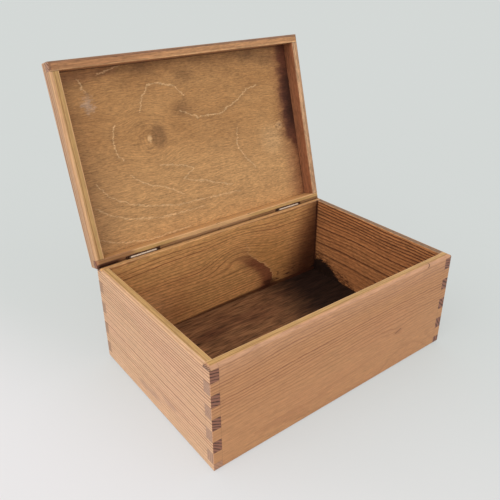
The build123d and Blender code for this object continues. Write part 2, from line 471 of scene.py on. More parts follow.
def ring_lines(graph, board, at):
    """How dark the late growth of a ring is at each point, and the same without its variation."""
    seed = board.seed
    looks = board.looks
    place = (at.u, at.v, at.w)
    wander = graph.noise(place, (150, 60, 60), seed, detail=1.0) * looks["wander"]
    ripple = graph.noise(place, (38, 9, 9), seed + 3.7, detail=2.0) * looks["ripple"]
    shake = graph.noise(place, (9, 4, 4), seed + 6.1, detail=2.0) * looks["shake"]
    across = at.v - board.pith[0] + wander
    down = at.w - board.pith[1]
    from_pith = (across * across + down * down).call("SQRT")
    radius = from_pith + (ripple + shake) + at.u * looks["taper"]
    for along, up, reach, amount in looks["bends"]:
        gap = graph.distance(at.u * BEND_SQUEEZE, at.v, (along * BEND_SQUEEZE, up))
        radius = radius + gap.rises(reach, 0.0) * amount
    uneven = graph.noise((radius, 0.0, 0.0), (9, 1, 1), seed + 9.1, detail=1.0)
    years = radius / board.ring + uneven * 0.5
    phase = years.call("FRACT")
    late = phase.rises(looks["late_from"], 0.86) * phase.rises(1.0, 0.93)
    strength = graph.random_of(years.call("FLOOR") + seed) * 0.75 + 0.35
    low, high, least = looks["quiet"]
    strength = strength * (at.v.rises(low, high) * (1.0 - least) + least)
    return late * strength, late


def rim_and_edges(graph, board, at, colour):
    """The rim's flat, darker than the faces, and the edges, mostly rubbed bright with a painted
    highlight.
    """
    seed = board.seed
    looks = board.looks
    square = graph.facing(board.grain).at_least(graph.facing(board.width))
    square = square.at_least(graph.facing(board.depth))
    rounded = square.rises(0.992, 0.93)
    flat_rim = board.rim(at) * graph.facing(board.width).rises(0.97, 0.99)
    colour = graph.mix(flat_rim * 0.85, colour, looks["flat"])
    across = (at.u, at.w, at.v)
    rim_lines = graph.noise(across, (60, 0.7, 3), seed + 8.4, detail=2.0).rises(0.05, 0.45)
    colour = graph.mix(flat_rim * rim_lines * 0.5, colour, LATEWOOD)
    drift = graph.noise(across, (50, 20, 20), seed + 2.2, detail=1.0) * 0.6
    rim_line = (at.w + drift).near(looks["rim_line"], 0.6)
    colour = graph.mix(flat_rim * rim_line * 0.75, colour, LATEWOOD)
    edge_patches = graph.noise((at.u, at.v, at.w), (26, 6, 6), seed + 4.4, detail=2.0) * 0.35 + 0.65
    # The rounded edges: rubbed wear, and on most boards a painted highlight.
    colour = graph.mix(rounded * edge_patches * looks["worn"], colour, looks["edge"])
    # Painted highlight, with rubbed wear, along the inner arris at the rim.
    arris = board.rim_near(at) * at.w.rises(1.3 - BOARD / 2, 0.8 - BOARD / 2)
    return graph.mix(arris * edge_patches * looks["worn"] * 1.2, colour, PEACH)


def end_grain(graph, board, at, late):
    """The colour of the ends of the boards, where the rings show as dark lines."""
    uneven = graph.noise((at.u, at.v, at.w), (5, 5, 5), board.seed + 7.7, detail=2.0) * 0.9 + 0.8
    lines = late.rises(0.1, 0.75) * uneven
    return graph.mix(lines * board.looks["end_contrast"], board.looks["end"], END_LINE)


def pine(name, board, marks):
    """Stained softwood: growth rings in the solid, fibres along the grain and dark end grain."""
    graph = Graph(name)
    looks = board.looks
    at = Sawn(graph, board)
    place = (at.u, at.v, at.w)
    seed = board.seed
    late, late_even = ring_lines(graph, board, at)

    blotch = graph.noise(place, (80, 26, 26), seed + 1.3, detail=3.0)
    base = graph.mix(blotch * 0.9 + 0.5, looks["light"], looks["warm"])
    fibre = graph.noise(place, (30, 1.2, 1.2), seed + 5.2, detail=3.0, roughness=0.65)
    hair = graph.noise(place, (8, 0.5, 0.5), seed + 6.8, detail=2.0)
    fine = graph.noise(place, (5, 1.3, 1.3), seed + 4.9, detail=1.0) * looks["fine"]
    fibres = fibre * looks["fibre"] + hair * 0.28 + fine
    late_wood = looks["late"]
    # outside gives the outer face its own colour back, on boards whose other colours carry painted
    # shade.
    if looks["outside"]:
        outward = at.w.rises(-BOARD / 4, BOARD / 2)
        base = graph.mix(outward * 0.85, base, looks["outside"])
        late_wood = graph.mix(outward * 0.85, late_wood, LATEWOOD)
        fibres = fibres * (1.0 - outward * 0.55)
    tone = fibres + blotch * 0.12 + 1.0
    broken = late * (hair * 0.5 + fibre * 0.5 + 0.95)
    colour = graph.mix(broken * looks["contrast"], base, late_wood)
    colour = rim_and_edges(graph, board, at, colour)

    end = graph.facing(board.grain).rises(0.62, 0.92)
    colour = graph.mix(end, colour, end_grain(graph, board, at, late_even))
    speckle = graph.noise(place, (0.5, 0.5, 0.5), seed + 2.9, detail=2.0)
    tone = tone * (1.0 - end) + (speckle * 0.16 + 1.0) * end
    colour = graph.shade(marks(graph, at, colour), tone)

    height = fibre * 0.5 + hair * 0.3 + late * 0.6
    rough = fibre * 0.05 + late * -0.06 + 0.5
    return graph.finish(colour, rough, height, 0.12, Specular_IOR_Level=WOOD_SPECULAR)


# ---- marks on the box ----

# Places in millimetres. Those of the long walls are given along the box and up, those of the side
# walls from front to back and up.
PIN_KNOT = (76.0, 45.0)
PIN_KNOT_LINE = ((72.0, 44.3), (76.0, 45.2), (80.5, 47.0))
RIM_CRACK = ((112.0, 106.0), (114.0, 107.0), (115.0, 108.5))
LEFT_SMEARS = ((-2.0, 16.0), (-31.0, 25.0), (18.0, 15.0))
RIGHT_SHADE_TOP = ((-100.0, 0.0), (30.0, 8.0), (45.0, 14.0), (60.0, 24.0), (73.0, 30.0), (91.0, 28.0))
RIGHT_SPOTS = (
    (-100.0, 0.0), (5.0, 8.0), (19.0, 13.0), (35.0, 24.0), (54.0, 29.0), (72.0, 36.0), (91.0, 36.0),
)
BACK_SHADE_TOP = ((-100.0, 0.0), (105.0, 9.0), (125.0, 14.0), (141.0, 20.0))
BACK_EDGE = (
    (14.0, 109.0), (27.0, 87.0), (31.0, 77.0), (33.0, 67.0), (42.0, 59.0), (56.0, 47.0), (67.0, 33.0),
    (69.0, 24.0), (64.0, 14.0), (60.0, 0.0),
)
BACK_BLOT = (64.0, 17.0)
BACK_FLUSH = (-84.0, 28.0)

# Where marks begin and where they reach their full strength, in millimetres along the box or up. The
# dashes have it between their two places along, and the corner's two lie on a slanting, ragged line.
LIT_TOP_STRIP = (84.0, 106.0)
DEEPER_GAP_SHADE = (-122.0, -130.0)
STAIN_UP = (92.0, 55.0)
STAIN_CORE_UP = (74.0, 56.0)
STAIN_EDGE_UP = (90.0, 75.0)
AMBER_UP = (98.0, 60.0)
CORNER_SHADE_BROWN = (100.0, 150.0)
CORNER_SHADE_DARK = (112.0, 162.0)
DASHES_ALONG = (76.0, 122.0)
DASHES_UP = (44.0, 24.0)
LIT_ALONG = (-60.0, -118.0)
LIT_UP = (75.0, 35.0)

# Half the width of a glue line with its soft edge, and how far past a hinge the painted shade in the
# gap is deeper.
SEAM_REACH = 0.28
HINGE_GAP = 4.5

# The stretch of a board, in millimetres, that a curve node's range of 0 to 1 stands for.
CURVE_SPAN = 200.0

finger_count = math.ceil((RIM_HEIGHT - LOWEST_FINGER) / FINGER)
finger_levels = [LOWEST_FINGER + n * FINGER for n in range(finger_count)]
top_finger = finger_levels[-1]

leaf_low, leaf_high = box_mm("right_hinge_box_leaf")
hinge_near = leaf_low.x - HINGE_GAP
hinge_far = leaf_high.x + HINGE_GAP


def outer_face(at, start, end):
    """0 further than one depth below a board's outer face, and 1 within another."""
    return at.w.rises(BOARD / 2 - start, BOARD / 2 - end)


def inner_face(at):
    """1 on a board's inner face, and 0 from 1 mm below it on."""
    return at.w.rises(-BOARD / 2 + 1.0, -BOARD / 2 + 0.2)


def finger_seams(graph, along, height, levels, half_length, colour):
    """Thin dark glue lines round the fingers at both ends of a board."""
    inside = abs(along).rises(half_length - BOARD - 0.15, half_length - BOARD)
    lines = None
    for level in levels:
        line = height.near(level, SEAM_REACH)
        lines = line if lines is None else lines.at_least(line)
    shoulder = abs(along).near(half_length - BOARD, SEAM_REACH)
    uneven = graph.noise((along, height, height), (3, 3, 3), 17.0) * 0.4 + 0.6
    seam = (lines * inside * 0.75).at_least(shoulder * 0.45)
    return graph.mix(seam * uneven, colour, SEAM)


def painted_gap_shade(graph, at, colour):
    """Painted shade in the gap between the box and the lid, round the hinge pins' axis."""
    from_pin = graph.distance(at.y, at.z, (PIN.y, PIN.z))
    ragged = graph.noise((at.x, at.y, at.z), (14, 3, 3), 71.0) * 0.8
    by_hinge = abs(at.x).within(hinge_near, hinge_far, 1.0)
    depth = by_hinge.at_least(at.x.rises(*DEEPER_GAP_SHADE)) * 0.45 + 0.5
    return graph.mix((from_pin + ragged).rises(3.2, 1.8) * depth, colour, STAIN_AND_SHADE)


def front_marks(graph, at, colour):
    """A pin knot, painted light as a lighter and more pink strip under the rim, and the crack and dark
    corners of the rim.
    """
    # Painted light: the outer face lighter and more pink just under the rim.
    lit_top = at.z.rises(*LIT_TOP_STRIP) * outer_face(at, 3.0, 1.0)
    colour = graph.mix(lit_top * 0.3, colour, PINK_EDGE)
    colour = finger_seams(graph, at.x, at.z, finger_levels, HALF_LENGTH, colour)
    knot = graph.distance(at.x, at.z * 2.0, (PIN_KNOT[0], PIN_KNOT[1] * 2.0))
    colour = graph.mix(knot.rises(11.0, 2.0) * 0.35, colour, LATEWOOD)
    streak = graph.line_distance(at.x, at.z, PIN_KNOT_LINE)
    colour = graph.mix(streak.rises(0.8, 0.2) * 0.6, colour, SEAM)
    corner = abs(at.x).rises(HALF_LENGTH - 2.2, HALF_LENGTH - 1.2)
    corner = corner * at.z.rises(top_finger - 0.4, top_finger + 0.4)
    bands = (at.y * 0.45 + at.z * 0.55).call("FRACT").rises(0.3, 0.6)
    colour = graph.mix(corner * (bands * 0.5 + 0.25), colour, END_LINE)
    crack = graph.line_distance(at.x, at.z, RIM_CRACK)
    return graph.mix(crack.rises(0.7, 0.2) * 0.8, colour, SEAM)


def side_marks(graph, at, colour):
    """The glue lines at both ends of a side wall."""
    return finger_seams(graph, at.y, at.z, finger_levels, HALF_DEPTH, colour)


def left_marks(graph, at, colour):
    """Faint smears on the outside, and the pale foot of the front corner."""
    foot = at.z.rises(LOWEST_FINGER + 0.1, LOWEST_FINGER - 0.1)
    front_end = at.y.rises(1.0 - HALF_DEPTH, 0.3 - HALF_DEPTH)
    colour = graph.mix(foot * front_end * 0.5, colour, PINK_EDGE)
    colour = side_marks(graph, at, colour)
    outside = outer_face(at, 1.0, 0.2)
    ragged = graph.noise((at.y, at.z, at.x), (8, 1.2, 1), 83.0) * 2.0
    for along, up in LEFT_SMEARS:
        smear = graph.distance(at.y * 0.3, at.z, (along * 0.3, up))
        colour = graph.mix((smear + ragged).rises(5.5, 1.0) * outside * 0.45, colour, SMEAR)
    return colour


def below_curve(graph, along, height, line, ragged, seed):
    """1 below a line through given points, with a ragged edge."""
    place = (along, height, along)
    lump = graph.noise(place, (6, 2.6, 50), seed, detail=4.0, roughness=0.75) * ragged
    points = [(a / CURVE_SPAN + 0.5, b / CURVE_SPAN) for a, b in line]
    level = graph.curve(along / CURVE_SPAN + 0.5, points) * CURVE_SPAN
    return (level - height + lump).rises(-0.8, 1.2)


def painted_corner_shade(graph, along, reach, height, seed):
    """Painted shade: a ragged dark line down an inner corner."""
    lump = graph.noise((along, height, height), (2, 4, 4), seed, detail=3.0, roughness=0.7)
    return (along + lump * 2.2).rises(reach - 2.4, reach - 0.8)


def right_marks(graph, at, colour):
    """Painted shade on the inside, down the back corner and low beside it, with loose dark spots above
    it.
    """
    colour = side_marks(graph, at, colour)
    inside = inner_face(at)
    corner = painted_corner_shade(graph, at.y, HALF_DEPTH - BOARD, at.z, 19.0)
    colour = graph.mix(corner * inside * 0.9, colour, STAIN_AND_SHADE)
    place = (at.y, at.z, at.x)
    spots = graph.noise(place, (4.5, 1.8, 40), 61.0, detail=3.0, roughness=0.7).rises(-0.12, 0.10)
    dark_spots = below_curve(graph, at.y, at.z, RIGHT_SPOTS, 12.0, 27.0) * spots
    colour = graph.mix(dark_spots * inside * 0.8, colour, STAIN_AND_SHADE)
    # Painted shade, near black, below a line that rises towards the back corner.
    deep_shade = below_curve(graph, at.y, at.z, RIGHT_SHADE_TOP, 9.0, 29.0)
    return graph.mix(deep_shade * inside * 0.96, colour, CORNER_SHADE_BLACK)


def edged_stain(graph, at, inside, ragged, colour):
    """The stain on the back wall with its hard pale edge, and the amber wood to the right of it."""
    points = [(b / CURVE_SPAN, a / CURVE_SPAN + 0.5) for a, b in reversed(BACK_EDGE)]
    edge = graph.curve(at.z / CURVE_SPAN, points)
    past = at.x - (edge * CURVE_SPAN - CURVE_SPAN / 2) + ragged
    core = past.rises(-24.0, -12.0) * at.z.rises(*STAIN_CORE_UP) * 0.55
    blotch = (past.rises(-40.0, -3.0) * 0.45 + core) * past.rises(1.0, -0.6)
    colour = graph.mix(blotch * at.z.rises(*STAIN_UP) * inside * 0.9, colour, ROSE_STAIN_AND_SHADE)
    bright = past.rises(-1.0, 1.0) * past.rises(75.0, 25.0) * at.z.rises(*AMBER_UP)
    colour = graph.mix(bright * inside * 0.5, colour, AMBER)
    rim_of_stain = past.near(0.9, 1.6) * at.z.rises(*STAIN_EDGE_UP)
    return graph.mix(rim_of_stain * inside * 0.45, colour, PEACH)


def back_marks(graph, at, colour):
    """The stains on the inside, painted shade that grows darker towards the right corner and lies along
    the foot and in the gap under the lid, and painted light low at the left end.
    """
    colour = finger_seams(graph, at.x, at.z, finger_levels, HALF_LENGTH, colour)
    inside = inner_face(at)
    place = (at.x, at.z, at.x)
    ragged = graph.noise(place, (9, 5, 60), 31.0, detail=4.0, roughness=0.7) * 6.0
    colour = edged_stain(graph, at, inside, ragged, colour)
    # Painted shade, brown and then dark, towards the right corner and the bottom.
    inward = at.x + (RIM_HEIGHT - at.z) * 0.42 + ragged
    colour = graph.mix(inward.rises(*CORNER_SHADE_BROWN) * inside * 0.6, colour, ROSE_STAIN_AND_SHADE)
    colour = graph.mix(inward.rises(*CORNER_SHADE_DARK) * inside * 0.92, colour, STAIN_AND_SHADE)
    dashes = graph.noise((at.x, at.z, 0.0), (9, 2.0, 1), 35.0, detail=2.0).rises(0.05, 0.28)
    near_floor = at.x.within(*DASHES_ALONG, 14.0) * at.z.rises(*DASHES_UP)
    colour = graph.mix(dashes * near_floor * inside * 0.85, colour, STAIN_AND_SHADE)
    blot = graph.distance(at.x * 0.7, at.z, (BACK_BLOT[0] * 0.7, BACK_BLOT[1])) + ragged * 1.2
    colour = graph.mix(blot.rises(10.0, 4.0) * inside * 0.85, colour, STAIN_AND_SHADE)
    # Painted light: lighter low at the left end of the inside.
    low_left = at.x.rises(*LIT_ALONG) * at.z.rises(*LIT_UP)
    colour = graph.mix(low_left * inside * 0.65, colour, BACK_LIT)
    flush = graph.distance(at.x * 0.6, at.z, (BACK_FLUSH[0] * 0.6, BACK_FLUSH[1]))
    colour = graph.mix(flush.rises(34.0, 6.0) * inside * 0.3, colour, ROSE_STAIN_AND_SHADE)
    # Painted shade down the right inner corner.
    corner = painted_corner_shade(graph, at.x, HALF_LENGTH - BOARD, at.z, 23.0)
    colour = graph.mix(corner * inside * 0.95, colour, STAIN_AND_SHADE)
    # Painted shade, near black, low in the right corner.
    deep_shade = below_curve(graph, at.x, at.z, BACK_SHADE_TOP, 6.0, 41.0)
    colour = graph.mix(deep_shade * inside * 0.95, colour, CORNER_SHADE_BLACK)
    # Painted shade along the foot of the wall, where it meets the bottom panel.
    foot = (at.x.rises(-120.0, 45.0) * 4.0 + 12.2 - at.z).rises(-0.5, 0.8)
    colour = graph.mix(foot * inside * 0.85, colour, STAIN_AND_SHADE)
    return painted_gap_shade(graph, at, colour)


# ---- the box's boards ----


def box_rim(at):
    """1 on the flat of the rim."""
    return at.z.rises(RIM_HEIGHT - 0.4, RIM_HEIGHT - 0.1)


def box_rim_near(at):
    """1 within 0.6 mm of the rim."""
    return at.z.rises(RIM_HEIGHT - 1.4, RIM_HEIGHT - 0.6)


def box_board(x, y, grain, outward, pith, ring, seed, **looks):
    """A wall of the box, whose middle stands at x and y."""
    middle = (x, y, RIM_HEIGHT / 2)
    return Board(middle, grain, (0, 0, 1), outward, pith, ring, seed, box_rim, box_rim_near, **looks)


side_x = HALF_LENGTH - BOARD / 2
long_y = HALF_DEPTH - BOARD / 2
BOX_BOARDS = {
    "front_wall": (
        box_board(
            0, -long_y, (1, 0, 0), (0, -1, 0), (-40, -34), 2.7, 11.0,
            wander=7.0, ripple=1.2, shake=0.6, taper=-0.02, late_from=0.5,
            bends=((76.0, -10.0, 22.0, 3.0), (95.0, -50.0, 30.0, 7.0)),
            quiet=(-22.0, 22.0, 0.22), contrast=0.95, edge=PINK_EDGE,
            light=(0.55, 0.275, 0.122), warm=(0.49, 0.232, 0.105),
            end=(0.45, 0.262, 0.172), end_contrast=0.45,
        ),
        front_marks,
    ),
    "back_wall": (
        box_board(
            0, long_y, (1, 0, 0), (0, 1, 0), (70, -40), 3.3, 23.0,
            wander=9.0, late_from=0.62, bends=((20.0, 24.0, 34.0, 12.0),),
            contrast=1.0, fibre=0.5, fine=0.45, worn=0.25,
            light=(0.70, 0.375, 0.135), warm=(0.60, 0.292, 0.108), flat=(0.50, 0.27, 0.11),
            end=(0.40, 0.23, 0.14), end_contrast=0.35,
        ),
        back_marks,
    ),
    # Painted light: the left wall's colours are lighter and paler than the other walls', for the light
    # on this side.
    "left_wall": (
        box_board(
            -side_x, 0, (0, 1, 0), (-1, 0, 0), (-78, 35), 2.9, 37.0,
            wander=3.0, ripple=0.6, shake=0.3, late_from=0.42,
            quiet=(-50.0, -20.0, 0.4), contrast=1.35, worn=0.4, edge=(0.64, 0.38, 0.20),
            light=(0.70, 0.435, 0.245), warm=(0.65, 0.375, 0.232), late=(0.32, 0.140, 0.068),
            end_contrast=1.0,
        ),
        left_marks,
    ),
    # Painted shade: the right wall's light, warm and late colours are darkened for its inner face; its
    # outer face takes HONEY.
    "right_wall": (
        box_board(
            side_x, 0, (0, 1, 0), (1, 0, 0), (-46, -34), 3.7, 51.0,
            wander=7.0, ripple=0.9, late_from=0.3,
            quiet=(-30.0, 4.0, 0.45), contrast=1.2, fine=0.6, worn=0.15,
            light=(0.50, 0.215, 0.080), warm=(0.39, 0.155, 0.056), late=(0.10, 0.034, 0.016),
            flat=(0.20, 0.12, 0.06), outside=HONEY,
        ),
        right_marks,
    ),
}

# ---- the lid ----

LID_UP = Vector((0, math.sin(OPEN_ANGLE), math.cos(OPEN_ANGLE)))
LID_BACK = Vector((0, math.cos(OPEN_ANGLE), -math.sin(OPEN_ANGLE)))

# the middle of the lid's rim
LID_ORIGIN = Vector((0, *(PIN - LID_BACK * PIN.y + LID_UP * (PIN.z - RIM_HEIGHT)).yz))

LID_HEIGHT = 19.0
LID_PLY = 3.0
PLY_LEVEL = LID_HEIGHT - LID_PLY
LID_FINGER = 7.5

# Chips in the rim of the lid's back rail, in millimetres along it, and their height above the rim.
RAIL_CHIPS = (-3.0, 41.0)
CHIP_HEIGHT = 1.5

# Stretches of the lid's rims that are stained or pale, in millimetres along them.
FRONT_REDDER = (10.0, -110.0)
BACK_STAINED = (-104.0, -114.0)
BACK_PALER = (-48.0, 30.0)


def ply_point(pixel):
    """Where the ray through a pixel meets the lid's plywood: along the hinges, and front to back."""
    direction = ray_through(pixel)
    start = CAMERA_PLACE / MM - LID_ORIGIN
    reach = (PLY_LEVEL - start.dot(LID_UP)) / direction.dot(LID_UP)
    met = start + direction * reach
    return met.x, met.dot(LID_BACK)


class LidPlace:
    """A point's place in the lid: along the hinges, from front to back, and up from the rim."""

    def __init__(self, graph):
        point = graph.object_point()
        self.x = graph.along(point, (0, 0, 0), (1, 0, 0))
        self.y = graph.along(point, LID_ORIGIN, LID_BACK)
        self.z = graph.along(point, LID_ORIGIN, LID_UP)


def lid_rim(at):
    """1 on the flat of the rim."""
    return (at.v + LID_HEIGHT / 2).rises(0.4, 0.1)


def lid_rim_near(at):
    """1 within 0.6 mm of the rim."""
    return (at.v + LID_HEIGHT / 2).rises(1.4, 0.6)


def lid_board(x, y, grain, outward, pith, ring, seed, **looks):
    """A rail of the lid, whose middle lies at x and y from the middle of the lid."""
    middle = LID_ORIGIN + Vector((x, 0, 0)) + LID_BACK * y + LID_UP * (LID_HEIGHT / 2)
    return Board(middle, grain, LID_UP, outward, pith, ring, seed, lid_rim, lid_rim_near, **looks)


def long_rail_marks(graph, colour):
    """The glue lines at both ends of a long rail."""
    place = LidPlace(graph)
    return finger_seams(graph, place.x, place.z, [LID_FINGER], HALF_LENGTH, colour)


def side_rail_marks(graph, at, colour):
    """Glue lines, and dark corners in the rim."""
    place = LidPlace(graph)
    colour = finger_seams(graph, place.y, place.z, [LID_FINGER], HALF_DEPTH, colour)
    shoulder = abs(place.y).near(HALF_DEPTH - BOARD, 0.7) * lid_rim_near(at)
    return graph.mix(shoulder * 0.9, colour, SEAM)


def front_rail_marks(graph, at, colour):
    """The redder left end of the rim."""
    redder = at.u.rises(*FRONT_REDDER) * lid_rim_near(at)
    colour = graph.mix(redder * 0.4, colour, LATEWOOD)
    return long_rail_marks(graph, colour)


def back_rail_marks(graph, at, colour):
    """A stained left end, a pale stretch by the rim, and chips in it."""
    colour = long_rail_marks(graph, colour)
    place = LidPlace(graph)
    point = (place.x, place.y, place.z)
    left_end = (place.x + graph.noise(point, (12, 4, 4), 5.0) * 3.0).rises(*BACK_STAINED)
    colour = graph.mix(left_end * place.z.rises(3.5, 1.0) * 0.6, colour, ROSE_STAIN_AND_SHADE)
    middle = place.x.within(*BACK_PALER, 22.0) * place.z.rises(2.2, 0.8)
    colour = graph.mix(middle * 0.6, colour, PEACH)
    ragged = graph.noise(point, (3, 1, 1), 15.0, detail=2.0)
    for along in RAIL_CHIPS:
        chip = graph.distance(place.x * 0.4, place.z, (along * 0.4, CHIP_HEIGHT))
        colour = graph.mix((chip + ragged).rises(1.4, 0.7) * 0.7, colour, STAIN_AND_SHADE)
    # Painted shade in the gap under the lid.
    return painted_gap_shade(graph, at, colour)


LID_BOARDS = {
    "lid_front_rail": (
        lid_board(
            0, -long_y, (1, 0, 0), -LID_BACK, (-20, 14), 2.6, 61.0,
            late_from=0.6, contrast=0.5, fibre=0.7, fine=0.4, worn=1.0, rim_line=9.0,
            edge=(0.10, 0.052, 0.034), flat=(0.50, 0.255, 0.112),
            end=(0.40, 0.215, 0.135), end_contrast=1.2,
        ),
        front_rail_marks,
    ),
    "lid_back_rail": (
        lid_board(
            0, long_y, (1, 0, 0), LID_BACK, (-60, -30), 3.6, 67.0,
            contrast=0.45, light=(0.66, 0.37, 0.150), warm=(0.58, 0.30, 0.120),
        ),
        back_rail_marks,
    ),
    "lid_left_rail": (
        lid_board(
            -side_x, 0, LID_BACK, (-1, 0, 0), (-60, -25), 3.4, 73.0,
            contrast=0.9, light=(0.55, 0.325, 0.170), warm=(0.52, 0.285, 0.165),
        ),
        side_rail_marks,
    ),
    # Painted shade: the right rail's light and warm colours are darkened for its inner face; its outer
    # face takes HONEY.
    "lid_right_rail": (
        lid_board(
            side_x, 0, LID_BACK, (1, 0, 0), (-60, -25), 3.4, 79.0,
            contrast=0.9, fibre=0.9, fine=0.6, worn=0.15,
            light=(0.33, 0.135, 0.062), warm=(0.25, 0.097, 0.047), flat=(0.62, 0.37, 0.20),
            outside=HONEY,
        ),
        side_rail_marks,
    ),
}

# ---- plywood ----

# Figure and marks of the lid's plywood, as points on the photograph.
PLY_KNOT = (150, 139)
PLY_KNOT_DARK = (159, 136)
PLY_SMALL_KNOT = (279, 125)
PLY_PALE_SPOT = (272, 139)
PLY_SMUDGE = (88, 105)
PLY_MOTTLES = ((184, 75), (140, 66), (246, 54), (264, 60), (182, 108))
PLY_ROSE_BAND = ((64, 78), (84, 75), (110, 68))
PLY_VEINS = (
    ((139, 113), (142, 97), (147, 85), (158, 83), (174, 86), (184, 95)),
    ((179, 110), (198, 117), (220, 113), (238, 99), (246, 89), (256, 85)),
    ((237, 128), (237, 145), (246, 157), (256, 167)),
    ((160, 165), (186, 165), (194, 168), (189, 173), (184, 179), (210, 181), (232, 184)),
    ((130, 175), (136, 179), (150, 185), (170, 188), (184, 194)),
    ((96, 185), (110, 197), (130, 204), (150, 206)),
    ((96, 209), (110, 216), (130, 219), (163, 217), (205, 206)),
    ((97, 240), (118, 243), (150, 240), (190, 226)),
    ((150, 206), (176, 205), (212, 197), (240, 190)),
    ((114, 126), (113, 140), (116, 153), (124, 161)),
    ((77, 80), (82, 85), (80, 89), (85, 92)),
    ((96, 75), (106, 70.5), (119, 66)),
)

# The distance in millimetres from ring to ring round the large and the small knot.
KNOT_RING = 4.2
SMALL_KNOT_RING = 3.4

# The smear at the plywood's right edge, in millimetres along the hinges, and where from front to back
# it narrows, is darkest and ends.
SMEAR_HALO = (108.0, 141.0)
SMEAR_EDGE = (116.0, 130.0)
SMEAR_CORE = (122.0, 138.0)
SMEAR_NARROWS = (-20.0, -88.0)
SMEAR_DARKEST = (-48.0, -6.0)
SMEAR_ENDS = (10.0, 37.0)

# The painted shade on the bottom panel: a point on its edge, and the direction in which it grows
# darker.
SHADE_EDGE = (93.0, 62.0)
SHADE_NORMAL = (0.97, -0.25)
BOTTOM_UPPER_FACE = 11.0


class PlyPlace(LidPlace):
    """A point's place in the lid's plywood, with the numbers that its figure and its marks share.

    inside is 1 on the side that faces into the box, jitter_x and jitter_y make drawn lines uneven, and
    lump makes the edges of stains ragged."""

    def __init__(self, graph):
        super().__init__(graph)
        self.inside = self.z.rises(PLY_LEVEL + 0.8, PLY_LEVEL + 0.3)
        sheet = (self.x, self.y, 0.0)
        self.jitter_x = graph.noise(sheet, (8, 5, 1), 37.0, detail=4.0, roughness=0.75) * 5.0
        self.jitter_y = graph.noise(sheet, (8, 5, 1), 43.0, detail=4.0, roughness=0.75) * 4.0
        self.lump = graph.noise(sheet, (12, 9, 1), 53.0, detail=4.0, roughness=0.65)
        self.knot = ply_point(PLY_KNOT)
        self.from_knot = graph.distance(self.x, self.y * 0.8, (self.knot[0], self.knot[1] * 0.8))


def ply_grain(graph, at):
    """The colour of the plain sheet, how light its grain is at each point, and its dashes and pores."""
    bend = at.from_knot.rises(42.0, 4.0) * at.inside
    low = graph.noise((at.x, at.y, 0.0), (85, 40, 1), 3.0, detail=1.0)
    flow = at.y + (at.knot[1] - at.y) * bend * 0.5 + low * 3.0

    wide = graph.noise((at.x, at.y, at.z), (55, 30, 9), 7.0, detail=3.0, roughness=0.6)
    colour = graph.mix(wide * 0.8 + 0.5, PLY_LIGHT, PLY_WARM)
    lower = at.y.rises(-30.0, 60.0) * at.inside
    colour = graph.mix(lower * 0.55, colour, PLY_LOWER)
    colour = graph.mix(at.x.rises(-70.0, -141.0) * at.inside * 0.07, colour, LATEWOOD)

    place = (at.x, flow, at.z)
    dashes = graph.noise(place, (12, 0.8, 3), 11.0, detail=3.0, roughness=0.6)
    streaks = graph.noise(place, (40, 3.0, 3), 13.0, detail=2.0)
    pores = graph.noise(place, (3.0, 0.6, 2), 19.0, detail=1.0).rises(0.2, 0.5)
    fleck = graph.noise(place, (5.0, 1.3, 2), 29.0, detail=2.0, roughness=0.65)
    growth = low * 2.2 + graph.noise((at.x, at.y, 0.0), (22, 9, 1), 23.0, detail=3.0) * 0.20
    step = (growth + flow / 24.0).call("FRACT").rises(0.0, 1.0) - 0.5
    tone = dashes * 0.50 + streaks * 0.10 - pores * 0.24 + fleck * 0.62
    return colour, tone + step * (lower * 0.03 + 0.07) + 1.0, dashes, pores


def ply_veins(graph, at, colour):
    """The pale wavy lines, and the broad red and pale places that they lie on."""
    x = at.x + at.jitter_x
    y = at.y + at.jitter_y
    band = graph.line_distance(x, y, [ply_point(pixel) for pixel in PLY_ROSE_BAND])
    colour = graph.mix(band.rises(9.0, 2.0) * at.inside * 0.3, colour, ROSE_STAIN_AND_SHADE)
    pale_spot = graph.distance(x, y, ply_point(PLY_PALE_SPOT))
    colour = graph.mix(pale_spot.rises(26.0, 5.0) * at.inside * 0.3, colour, PLY_PALE)
    vein = None
    for line in PLY_VEINS:
        gap = graph.line_distance(x, y, [ply_point(pixel) for pixel in line])
        vein = gap if vein is None else vein.at_most(gap)
    broken = graph.noise((at.x, at.y, 0.0), (5, 2.5, 1), 47.0, detail=2.0) * 0.6 + 0.55
    colour = graph.mix(vein.rises(8.0, 0.0) * at.inside * 0.13, colour, PLY_DARK)
    return graph.mix(vein.rises(0.95, 0.35) * broken * at.inside, colour, PLY_PALE)


def ply_knots(graph, at, colour):
    """The large knot with its dark lobe, and the small one near the right edge, each in its rings."""
    x = at.x + at.jitter_x
    lobe = ply_point(PLY_KNOT_DARK)
    in_lobe = graph.distance(x, at.y * 0.7, (lobe[0], lobe[1] * 0.7))
    colour = graph.mix(in_lobe.rises(12.5, 5.0) * at.inside * 0.42, colour, PLY_DARK)
    ring = ((at.from_knot + at.jitter_x * 0.6) / KNOT_RING).call("FRACT").rises(0.25, 0.9)
    ring = ring * at.from_knot.rises(19.0, 8.0) * at.from_knot.rises(1.0, 4.0)
    colour = graph.mix(ring * at.inside * 0.17, colour, PLY_DARK)
    heart = graph.distance(at.x + at.jitter_y, at.y * 0.55, (at.knot[0], at.knot[1] * 0.55))
    colour = graph.mix(heart.rises(3.2, 0.8) * at.inside * 0.55, colour, PLY_PALE)

    small = graph.distance(x, at.y, ply_point(PLY_SMALL_KNOT))
    colour = graph.mix(small.rises(6.5, 2.5) * at.inside * 0.4, colour, PLY_PALE)
    ring = ((small + at.jitter_y * 0.8) / SMALL_KNOT_RING).call("FRACT").rises(0.45, 0.85)
    colour = graph.mix(ring * small.rises(12.0, 5.0) * at.inside * 0.34, colour, PLY_DARK)
    return graph.mix(small.rises(2.2, 0.8) * at.inside * 0.6, colour, PLY_DARK)


